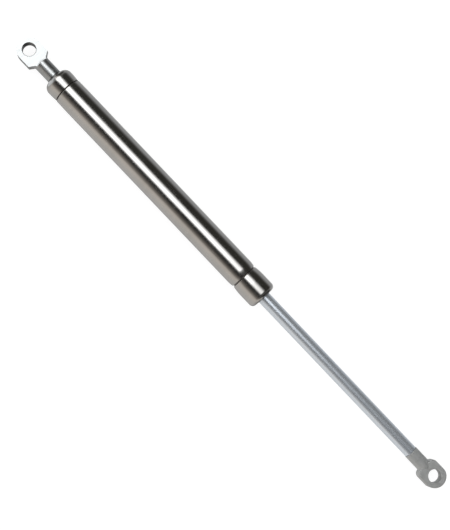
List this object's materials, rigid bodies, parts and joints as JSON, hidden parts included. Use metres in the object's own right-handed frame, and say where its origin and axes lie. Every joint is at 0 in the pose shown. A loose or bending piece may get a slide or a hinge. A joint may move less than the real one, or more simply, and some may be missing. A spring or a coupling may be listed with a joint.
{
  "type": "gas strut stay",
  "caption": "Stainless steel gas strut stay: a polished pressure tube, a sliding rod and a flat bored eye at each end, for holding a hatch, window or shutter open.",
  "frame": {"origin": "centre of the rear eye's bore, on the strut's axis", "axes": "+X along the strut from the rear eye to the rod's eye, +Z along the bore of the rear eye"},
  "size_m": [0.3616, 0.0184, 0.0182],
  "materials": {
    "polished_tube": "stainless, belt polished as it turned",
    "milled_eyelet": "stainless, turned and milled",
    "turned_plug": "stainless, turned",
    "blasted_eyelet": "stainless, cast and blasted, matte",
    "ground_rod": "stainless, ground and polished",
    "washer_steel": "stamped, bright",
    "bearing_bronze": "sintered bronze",
    "guide_plastic": "moulded, glass filled",
    "ring_plastic": "moulded, low friction",
    "piston_aluminium": "turned",
    "seal_rubber": "nitrile, moulded",
    "grease_felt": "felt soaked in grease"
  },
  "bodies": {
    "cylinder": {"cylinder_tube": "polished_tube", "end_plug": "turned_plug", "plug_o_ring": "seal_rubber", "rear_eyelet": "milled_eyelet", "support_washer": "washer_steel", "rod_seal": "seal_rubber", "backup_ring": "guide_plastic", "guide_bush": "guide_plastic", "bearing_sleeve": "bearing_bronze", "guide_o_ring": "seal_rubber", "grease_felt_ring": "grease_felt", "closing_disc": "washer_steel", "rod_wiper": "seal_rubber"},
    "piston_ring": {"piston_ring": "ring_plastic"},
    "rod": {"piston_rod": "ground_rod", "front_eyelet": "blasted_eyelet", "backing_washer": "washer_steel", "orifice_disc": "washer_steel", "piston": "piston_aluminium", "retaining_washer": "washer_steel"}
  },
  "joints": [
    {"name": "rod_stroke", "type": "slide", "parent": "cylinder", "child": "piston_ring", "axis": [-1, 0, 0], "range_m": [0, 0.12], "stiffness_N_per_m": 1083, "springref_m": -0.3693},
    {"name": "rod_spin", "type": "hinge", "parent": "piston_ring", "child": "rod", "pos_m": [0.347, 0, 0], "axis": [1, 0, 0], "continuous": true}
  ]
}
